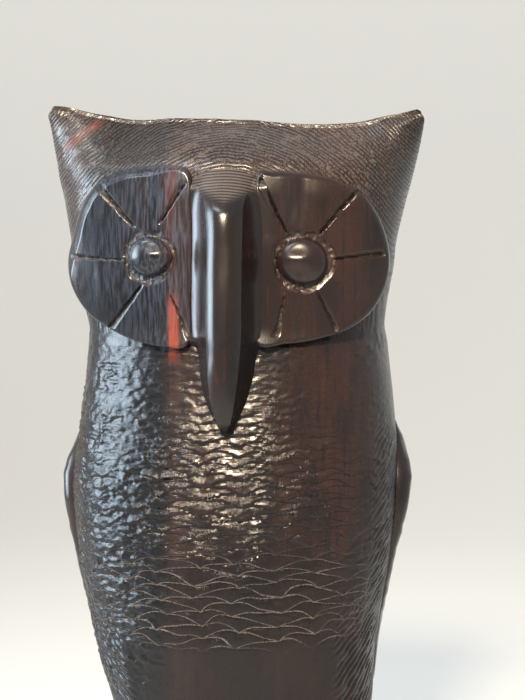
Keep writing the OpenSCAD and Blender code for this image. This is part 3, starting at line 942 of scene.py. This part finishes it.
def build_beak():
    """Beak: for each height a section across x, a rounded ridge whose flanks sweep out
    concavely to the breast, the faces or the brow, closed behind inside the head. A V of
    engraved brow runs down over its top."""
    z = np.linspace(BEAK_PROFILE[0, 0], BEAK_PROFILE[-1, 0], 230)
    foot, ridge, front = curve_at(BEAK_PROFILE, z).T[:, :, None]
    breast = front_depth(torso_size(z), foot[:, 0])[:, None] - 1.0
    disc = face_depth(foot[:, 0], z)[:, None] - 0.25
    brow = front_depth(head_size(z), foot[:, 0])[:, None] - 0.8
    on_face = ease(z, NECK_Z - 1, NECK_Z + 3)[:, None]
    on_brow = ease(z, 236, 243)[:, None]
    back = (breast * (1 - on_face) + disc * on_face) * (1 - on_brow) + brow * on_brow
    across = np.linspace(-1, 1, 141)
    across = across * (0.55 + 0.45 * np.abs(across))
    x = across * foot
    out = np.abs(x)
    drop = 2.3 * ease(z, 171, 196)[:, None] + 0.2
    crown = front - drop * np.clip(out / ridge, 0, 1) ** 2.6
    fall = np.clip((out - ridge) / (foot - ridge), 0, 1)
    flank = back + (front - drop - back) * (1 - fall) ** (1.4 + 1.6 * on_face)
    depth = np.where(out < ridge, crown, flank)
    depth = depth + 0.12 * noise(x / 2.2, z[:, None] / 9, 61) * (1 - fall)
    sway = 0.25 * noise(z[:, None] / 14, 0 * z[:, None], 63) + 0.7
    x = np.hstack([x, x[:, ::-1]]) + sway
    rows = z[:, None] + 0 * x
    depth = np.hstack([depth, np.repeat(back - 5, len(across), 1)])
    points = np.stack([x, -depth, rows], -1).reshape(-1, 3)
    ringed = ease(rows - 0.5 * np.abs(x - 0.8), 230.5, 234)
    faces = [grid_faces(len(z), x.shape[1], True)]
    values = {**plain_cuts(points), "brow": ringed.ravel()}
    piece("beak", points, faces, "polished", "beak", values=values)


# Share of the wing's height from its tip up, then how thick it is there
WING_THICK = np.array([
    [0.0, 1.4], [0.2, 1.4], [0.5, 1.5], [0.7, 2.6], [0.83, 4.0], [0.9, 2.4], [0.96, 0.6], [1.0, 0.2],
])


def feather_grooves(u, share_up):
    """Grooves between a wing's long feathers, Gaussian across them, which end in round
    tips below the shoulder. Gives the feather's number at each point and the groove."""
    feathers, tip_share = 7, 0.72
    feather = u * feathers + 0.6 * (1 - share_up) * (1 - u)
    blade = 1 - np.abs((feather % 1) * 2 - 1)
    groove = np.exp(-((blade / 0.16) ** 2)) * ease(share_up, 0.03, 0.1) * ease(u, 0.12, 0.2)
    return feather, groove * ease(tip_share - share_up - 0.15 * np.sin(feather * np.pi), 0, 0.05)


def build_wings():
    """Wings: a sheet over the body's own sections, from a curved front edge to near the
    back's middle, raised along its normals, with round edges, and closed beneath. The
    wing at -X is the same sheet mirrored."""
    z = np.linspace(WING_LOW[2] + 0.5, WING_HIGH[2], 230)
    share_up = ((z - WING_LOW[2]) / (WING_HIGH[2] - WING_LOW[2]))[:, None]
    thick = curve_at(WING_THICK, share_up)
    width, front, back = torso_size(z).T[:, :, None]
    half, middle = (front + back) / 2, (back - front) / 2
    start = np.arcsin(np.clip(signed_pow((crease(z)[:, None] - middle) / half, SECTION_POWER / 2), -1, 1))
    stop = np.arccos(np.clip((WING_LOW[0] / width) ** (SECTION_POWER / 2), 0, 1))
    start = np.minimum(start, stop - 0.02)
    u = np.linspace(0, 1, 130)
    q = start + (stop - start) * u
    x = width * signed_pow(np.cos(q), 2 / SECTION_POWER)
    y = middle + half * signed_pow(np.sin(q), 2 / SECTION_POWER)
    rows = z[:, None] + 0 * x
    points = np.stack([x, y, rows], -1)
    normal = normals(points, False)
    edge = (stop - start) * half * np.minimum(u, 1 - u)
    shape = np.sqrt(np.clip(1 - (1 - np.clip(edge / 3.2, 0, 1)) ** 2, 0, 1))
    tip = ease(share_up, 0, 0.04) * ease(1 - share_up, 0, 0.05)
    feather, groove = feather_grooves(u, share_up)
    barb = noise(feather * 4, rows / 2.2 + feather, 67)
    lift = (thick + 0.25) * shape * tip - 0.9 * groove + 0.15 * barb * shape - 0.5
    lift += 0.35 * noise(x / 9, rows / 12, 71)
    outer, inner = points + normal * lift[..., None], points - normal * 2.2
    ring = np.concatenate([outer, inner[:, ::-1]], 1)
    cut = np.concatenate([groove, 0 * groove], 1).ravel()
    faces = [grid_faces(len(z), ring.shape[1], True)]
    for side, sign in (("left", 1), ("right", -1)):
        sheet = ring * [sign, 1, 1]
        sheet[..., 0] += lean(z)[:, None]
        name = f"{side}_wing"
        # The feather grooves take the pale chips and the painted shade of the polished finish.
        piece(name, sheet.reshape(-1, 3), faces, "polished", name, values={"cut": cut, "deep": cut})


# Share of the tail's height, then its half width and how far back it stands
TAIL_PROFILE = np.array([[0.0, 15.0, 35.0], [0.45, 18.0, 36.5], [0.8, 16.0, 33.5], [1.0, 11.0, 29.0]])


def build_tail():
    """Tail: a slab down the back with a rounded outer face, its five feathers parted by
    grooves that run its length, with slanted barbs between them."""
    seat, feathers, barbs = 12, 5, 34
    share = np.linspace(0, 1, 150)
    z = TAIL_LOW[2] + 0.02 + share * (TAIL_HIGH[2] - TAIL_LOW[2])
    half, back = curve_at(TAIL_PROFILE, share).T[:, :, None]
    u = np.linspace(-1, 1, 121)
    bend = np.sqrt(np.clip(1 - np.abs(u) ** 5, 0, 1))
    x = half * u
    feather = (u + 1) / 2 * feathers
    groove = np.exp(-(((feather - np.round(feather)) / 0.07) ** 2)) * (np.abs(u) < 0.92)
    slant = share[:, None] * barbs + np.abs((feather % 1) - 0.5) * 3
    barb = 1 - np.abs((slant % 1) * 2 - 1)
    relief = -0.9 * groove - 0.22 * barb + 0.25 * noise(x / 8, z[:, None] / 9, 73)
    rows = z[:, None] + 0 * x
    lid = np.stack([x, seat + bend * (back - seat + relief), rows], -1)
    inner = np.stack([x[:, ::-1], seat + 0 * x, rows], -1)
    ring = np.concatenate([lid, inner], 1)
    ring[..., 0] += lean(z)[:, None]
    points = ring.reshape(-1, 3)
    none = np.zeros(len(points))
    maps = {"lines": pairs(none, none), "arcs": pairs(none, none)}
    values = {"arc": none, "line": none, "rough": none + 0.3}
    faces = [grid_faces(len(z), ring.shape[1], True)]
    piece("tail", points, faces, "textured", "tail", maps=maps, values=values)


def tube(path, radius, columns):
    """Rings of a round tube about a path that keeps close to a plane of constant x, each
    square to the path."""
    along = np.gradient(path, axis=0)
    along /= np.linalg.norm(along, axis=1, keepdims=True)
    side = np.array([1.0, 0.0, 0.0])
    over = np.cross(along, side)
    a = np.linspace(0, 2 * np.pi, columns, endpoint=False)
    ring = np.cos(a)[None, :, None] * side + np.sin(a)[None, :, None] * over[:, None, :]
    return path[:, None, :] + ring * radius[:, None, None]


TOE_RINGS, TOE_COLUMNS = 60, 40


def toe(number, step):
    """A toe as rings of points: a tube that comes down in a smooth step to the base, a
    little swollen at its joints, and closes in a claw along a quarter ellipse. number is
    -1, 0 or 1 across the foot."""
    joints, claw, claw_length = 6, 0.72, 0.3
    heel = 22
    t = np.linspace(0, 1, TOE_RINGS)
    tip = -FOOT_LOW[1] - 1.0 * abs(number)
    shank = 1 - 0.15 * t
    nail = (1 - 0.15 * claw) * np.sqrt(np.clip(1 - ((t - claw) / claw_length) ** 2, 0.02, 1))
    radius = (FOOT_HIGH[2] - FOOT_LOW[2]) / 3 * np.where(t < claw, shank, nail)
    radius *= 1 + 0.06 * np.cos(t * np.pi * joints)
    x = (FOOT_LOW[0] + FOOT_HIGH[0]) / 2 + number * (step + 1.2 * t)
    z = BASE_Z + radius * 0.75 + 5.5 * (1 - ease(t, 0, 0.55))
    rings = tube(np.stack([x, -heel - (tip - heel) * t, z], 1), radius, TOE_COLUMNS)
    rings[..., 2] = np.maximum(rings[..., 2], BASE_Z + 0.02)
    return rings.reshape(-1, 3)


def build_feet():
    """Feet: three toes each, side by side, the foot at -X a mirror of the other."""
    step = (FOOT_HIGH[0] - FOOT_LOW[0]) / 3.15
    points = np.vstack([toe(number, step) for number in (-1, 0, 1)])
    grid = grid_faces(TOE_RINGS, TOE_COLUMNS, True)
    faces = [np.vstack([grid + start for start in range(0, len(points), TOE_RINGS * TOE_COLUMNS)])]
    for side, sign in (("left", 1), ("right", -1)):
        name = f"{side}_foot"
        piece(name, points * [sign, 1, 1], faces, "polished", name, values=plain_cuts(points))


def build_base():
    """Base: a turned disc, its profile run round the axis: a small foot bevel, a barely
    swollen wall and an upper edge rounded by a quarter circle."""
    radius, top, round_off = BASE_RADIUS, BASE_Z, 3
    wall = radius - 0.25
    a = np.linspace(0, np.pi / 2, 14)
    swell = 0.2 * np.sin(np.linspace(0, np.pi, 20))
    profile = np.vstack([
        [[1.0, 0.0], [radius - 1.2, 0.0], [radius - 0.6, 0.25], [wall, 0.9]],
        np.stack([wall + swell, np.linspace(1.4, top - round_off - 0.4, 20)], 1),
        np.stack([wall - round_off * (1 - np.cos(a)), top - round_off * (1 - np.sin(a))], 1),
        np.stack([np.linspace(radius - 5, 1.0, 16), np.full(16, top)], 1),
    ])
    points = turned(profile, 220)
    piece("base", points, [grid_faces(len(profile), 220, True)], "plinth", "base")


# ---------------------------------------------------------------- stage

def area_light(name, place, aim, size, power, color, spread=180, mirrored=True):
    """A rectangular light at a place, turned towards aim, its beam spread over so many
    degrees. The camera doesn't see it."""
    data = bpy.data.lights.new(name, "AREA")
    data.shape, data.size, data.size_y = "RECTANGLE", size[0], size[1]
    data.energy, data.color = power, color
    data.spread = np.radians(spread)
    light = bpy.data.objects.new(name, data)
    light.location = place
    light.rotation_euler = (Vector(aim) - Vector(place)).to_track_quat("-Z", "Y").to_euler()
    light.visible_camera, light.visible_glossy = False, mirrored
    bpy.context.scene.collection.objects.link(light)


def floor_and_wall(s):
    """A round floor whose edge sweeps up through a quarter circle into a wall."""
    a = np.linspace(0, np.pi / 2, 24)[1:]
    flat, bend, columns = s.floor_radius - s.floor_bend, s.floor_bend, 96
    profile = np.vstack([
        [[0.02, 0.0], [flat, 0.0]],
        np.stack([flat + bend * np.sin(a), bend - bend * np.cos(a)], 1),
        [[s.floor_radius, s.wall_height]],
    ])
    points = turned(profile, columns)
    rim = np.arange(columns)
    middle = np.stack([np.roll(rim, -1), rim, np.full(columns, len(points))], 1)
    faces = grid_faces(len(profile), columns, True).tolist() + middle.tolist()
    mesh = bpy.data.meshes.new("floor")
    mesh.from_pydata(np.vstack([points, [[0, 0, 0]]]).tolist(), [], faces)
    mesh.shade_smooth()
    paint = bpy.data.materials.new("pale_paint")
    paint.use_nodes = True
    shader = paint.node_tree.nodes["Principled BSDF"]
    shader.inputs["Base Color"].default_value = (*s.floor_color, 1.0)
    shader.inputs["Roughness"].default_value = 0.9
    mesh.materials.append(paint)
    floor = bpy.data.objects.new("floor", mesh)
    bpy.context.scene.collection.objects.link(floor)


def stand_camera():
    """A long lens before the chest, a little to the bird's left and a little above it."""
    data = bpy.data.cameras.new("camera")
    data.lens, data.sensor_width = 88.7, 36.0
    camera = bpy.data.objects.new("camera", data)
    turn, tilt, far = np.radians(4.7), np.radians(3.0), 0.5
    target = Vector((0.0071, 0.0, 0.191))
    back = Vector((np.sin(turn) * np.cos(tilt), -np.cos(turn) * np.cos(tilt), np.sin(tilt)))
    camera.location = target + back * far
    camera.rotation_euler = back.to_track_quat("Z", "Y").to_euler()
    bpy.context.scene.collection.objects.link(camera)
    bpy.context.scene.camera = camera


def build_stage():
    """Stage: floor and wall, a cool window from the bird's right, a small warm lamp in
    front, a cool strip overhead, a light on the wall behind, an even sky and the camera."""
    scene = bpy.context.scene
    s = scene.owl_stage
    floor_and_wall(s)
    area_light("window", (-1.19, -0.18, 0.7), (0, 0, 0.7), (0.78, 1.3), s.window_power,
               (0.70, 0.86, 1.0), spread=90)
    area_light("ceiling", (-0.5, -0.45, 1.25), (0, 0, 0.22), (0.7, 0.22), s.ceiling_power,
               (0.85, 0.93, 1.0), spread=60)
    area_light("lamp", (-0.06, -0.9, 0.7), (0, 0, 0.16), (0.12, 0.12), s.lamp_power,
               (1.0, 0.81, 0.60), spread=50)
    area_light("backdrop", (0.0, 0.3, 2.1), (0.0, 2.3, 1.9), (2.6, 0.8), s.backdrop_power,
               (1.0, 0.99, 0.97), mirrored=False)
    world = bpy.data.worlds.new("sky")
    world.use_nodes = True
    sky = world.node_tree.nodes["Background"]
    sky.inputs["Color"].default_value = (1.0, 1.0, 1.0, 1.0)
    sky.inputs["Strength"].default_value = s.sky_strength
    scene.world = world
    stand_camera()
    scene.view_settings.view_transform = "Standard"


# ---------------------------------------------------------------- add-on

def carved_size(name, description, default, low, high):
    """A size in millimetres that a user may change."""
    return FloatProperty(name=name, description=f"{description}, in mm", default=default, min=low, max=high)


def stage_size(name, description, default):
    """A length of the stage in metres."""
    return FloatProperty(name=name, description=description, default=default, min=0.0, unit="LENGTH")


def brightness(name, description, default):
    """The strength of a light."""
    return FloatProperty(name=name, description=description, default=default, min=0.0)


def tint(name, description, default):
    """A colour that a user may change."""
    return FloatVectorProperty(
        name=name, description=description, default=default, subtype="COLOR", min=0.0, max=1.0,
    )


class OwlCarving(bpy.types.PropertyGroup):
    """Sizes of the carver's marks."""

    scallop_width: carved_size("Scallop width", "Width of a column of scallops", 10.5, 5.0, 20.0)
    scallop_pitch: carved_size("Scallop pitch", "Height from one scallop to the next", 3.85, 2.0, 8.0)
    scallop_depth: carved_size("Scallop depth", "How proud the lip of a scallop stands", 0.8, 0.0, 2.0)
    stop_depth: carved_size("Stop cut depth", "Depth of the cut over a scallop", 0.12, 0.0, 1.5)
    stroke_pitch: carved_size("Flank stroke pitch", "Distance between strokes on the flanks", 2.1, 1.0, 5.0)
    stroke_depth: carved_size("Flank stroke depth", "Depth of a stroke on the flanks", 0.4, 0.0, 1.5)
    line_pitch: carved_size("Head line pitch", "Distance between engraved lines on the head", 0.82, 0.4, 3.0)
    line_depth: carved_size("Head line depth", "Depth of an engraved line on the head", 0.16, 0.0, 0.6)


class OwlLooks(bpy.types.PropertyGroup):
    """Colours of the wood."""

    black: tint("Black heartwood", "Colour of the darkest bands", rgb(17, 18, 22)[:3])
    red: tint("Red streak", "Colour of the bright streaks", rgb(120, 52, 34)[:3])


class OwlStage(bpy.types.PropertyGroup):
    """Sizes, colour and lights of the stage."""

    floor_radius: stage_size("Floor radius", "Radius of the round floor", 2.6)
    floor_bend: stage_size("Sweep radius", "Radius of the sweep from floor to wall", 1.7)
    wall_height: stage_size("Wall height", "Height of the wall round the floor", 1.75)
    floor_color: tint("Floor colour", "Colour of the floor and wall", (0.735, 0.722, 0.69))
    window_power: brightness("Window power", "Power of the cool window light, in watts", 14.5)
    lamp_power: brightness("Lamp power", "Power of the small warm lamp, in watts", 1.6)
    ceiling_power: brightness("Ceiling power", "Power of the cool strip overhead, in watts", 0.8)
    backdrop_power: brightness("Backdrop power", "Power of the light on the wall behind, in watts", 36.0)
    sky_strength: brightness("Sky strength", "Brightness of the soft light all round", 0.56)


class OWL_OT_stage(bpy.types.Operator):
    """Build the floor, the lights and the camera"""

    bl_idname, bl_label = "owl.build_stage", "Stage"

    def execute(self, context):
        build_stage()
        return {"FINISHED"}


class OWL_OT_base(bpy.types.Operator):
    """Turn the round base"""

    bl_idname, bl_label = "owl.build_base", "Base"

    def execute(self, context):
        build_base()
        return {"FINISHED"}


class OWL_OT_torso(bpy.types.Operator):
    """Carve the breast, belly, flanks and back"""

    bl_idname, bl_label = "owl.build_torso", "Torso"

    def execute(self, context):
        build_torso()
        return {"FINISHED"}


class OWL_OT_head(bpy.types.Operator):
    """Carve the engraved head with its ear tufts"""

    bl_idname, bl_label = "owl.build_head", "Head"

    def execute(self, context):
        build_head()
        return {"FINISHED"}


class OWL_OT_discs(bpy.types.Operator):
    """Carve the two polished faces round the eyes"""

    bl_idname, bl_label = "owl.build_discs", "Facial discs"

    def execute(self, context):
        build_discs()
        return {"FINISHED"}


class OWL_OT_eyes(bpy.types.Operator):
    """Carve the two domed eyes"""

    bl_idname, bl_label = "owl.build_eyes", "Eyes"

    def execute(self, context):
        build_eyes()
        return {"FINISHED"}


class OWL_OT_beak(bpy.types.Operator):
    """Carve the long ridged beak"""

    bl_idname, bl_label = "owl.build_beak", "Beak"

    def execute(self, context):
        build_beak()
        return {"FINISHED"}


class OWL_OT_wings(bpy.types.Operator):
    """Carve the two folded wings"""

    bl_idname, bl_label = "owl.build_wings", "Wings"

    def execute(self, context):
        build_wings()
        return {"FINISHED"}


class OWL_OT_tail(bpy.types.Operator):
    """Carve the tail feathers"""

    bl_idname, bl_label = "owl.build_tail", "Tail"

    def execute(self, context):
        build_tail()
        return {"FINISHED"}


class OWL_OT_feet(bpy.types.Operator):
    """Carve the two feet"""

    bl_idname, bl_label = "owl.build_feet", "Feet"

    def execute(self, context):
        build_feet()
        return {"FINISHED"}


GROUPS = {"owl_carving": OwlCarving, "owl_looks": OwlLooks, "owl_stage": OwlStage}
OPERATORS = [
    OWL_OT_stage, OWL_OT_base, OWL_OT_torso, OWL_OT_head, OWL_OT_discs, OWL_OT_eyes, OWL_OT_beak,
    OWL_OT_wings, OWL_OT_tail, OWL_OT_feet,
]


class OWL_PT_panel(bpy.types.Panel):
    """Lists the owl's sizes, colours and build steps."""

    bl_idname, bl_label = "OWL_PT_panel", "Carved Owl"
    bl_space_type, bl_region_type, bl_category = "VIEW_3D", "UI", "Owl"

    def draw(self, context):
        for key in GROUPS:
            box, group = self.layout.box(), getattr(context.scene, key)
            for name in group.__annotations__:
                box.prop(group, name)
        for made in OPERATORS:
            self.layout.operator(made.bl_idname)


CLASSES = [*GROUPS.values(), *OPERATORS, OWL_PT_panel]


def register():
    """Registers the classes and hangs the groups of settings on the scene."""
    for made in CLASSES:
        bpy.utils.register_class(made)
    for name, group in GROUPS.items():
        setattr(bpy.types.Scene, name, PointerProperty(type=group))


def unregister():
    """Takes away what register added."""
    for name in GROUPS:
        delattr(bpy.types.Scene, name)
    for made in reversed(CLASSES):
        bpy.utils.unregister_class(made)


def main():
    """Registers the add-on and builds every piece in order."""
    register()
    bpy.ops.owl.build_stage()
    bpy.ops.owl.build_base()
    bpy.ops.owl.build_torso()
    bpy.ops.owl.build_head()
    bpy.ops.owl.build_discs()
    bpy.ops.owl.build_eyes()
    bpy.ops.owl.build_beak()
    bpy.ops.owl.build_wings()
    bpy.ops.owl.build_tail()
    bpy.ops.owl.build_feet()


if __name__ == "__main__":
    main()
